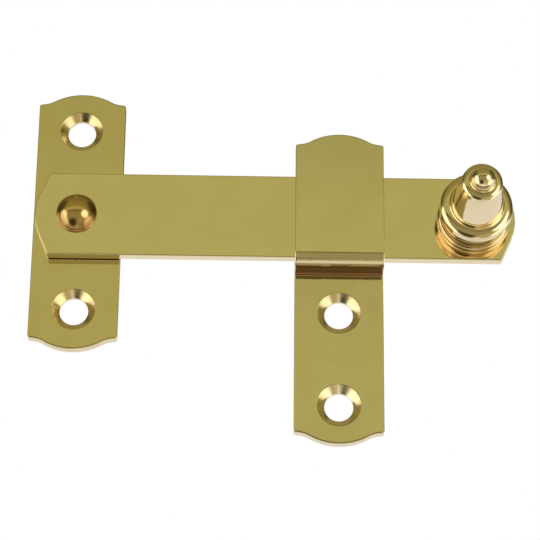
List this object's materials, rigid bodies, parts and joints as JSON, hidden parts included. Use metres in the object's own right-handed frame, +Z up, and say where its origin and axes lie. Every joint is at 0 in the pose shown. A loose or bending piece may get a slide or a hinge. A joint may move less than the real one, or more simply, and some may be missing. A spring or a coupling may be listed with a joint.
{
  "type": "toggle bolt latch",
  "caption": "Surface-mounted swing bar latch: a pivoting strip bar with a turned pull knob drops behind the raised lip of a bent keeper.",
  "frame": {"origin": "on the pivot rivet's axis, in the plane of the mounting surface", "axes": "+X along the latched bar from the pivot to the knob, +Y into the mounting surface, +Z up; the latch faces -Y"},
  "size_m": [0.0694, 0.0191, 0.0535],
  "materials": {
    "strip_brass": "polished and lacquered rolled strip",
    "turned_brass": "polished and lacquered, fine turning marks",
    "rivet_brass": "polished dome, peened tail",
    "washer_brass": "unpolished rolled sheet"
  },
  "bodies": {
    "base": {"pivot_plate": "strip_brass", "pivot_rivet": "rivet_brass", "pivot_washer": "washer_brass", "keeper": "strip_brass"},
    "swing_bar": {"bar": "strip_brass", "knob": "turned_brass"}
  },
  "joints": [
    {"name": "bar_pivot", "type": "hinge", "parent": "base", "child": "swing_bar", "pos_m": [0, -0.0027, 0], "axis": [0, -1, 0], "range_deg": [0, 334]}
  ]
}
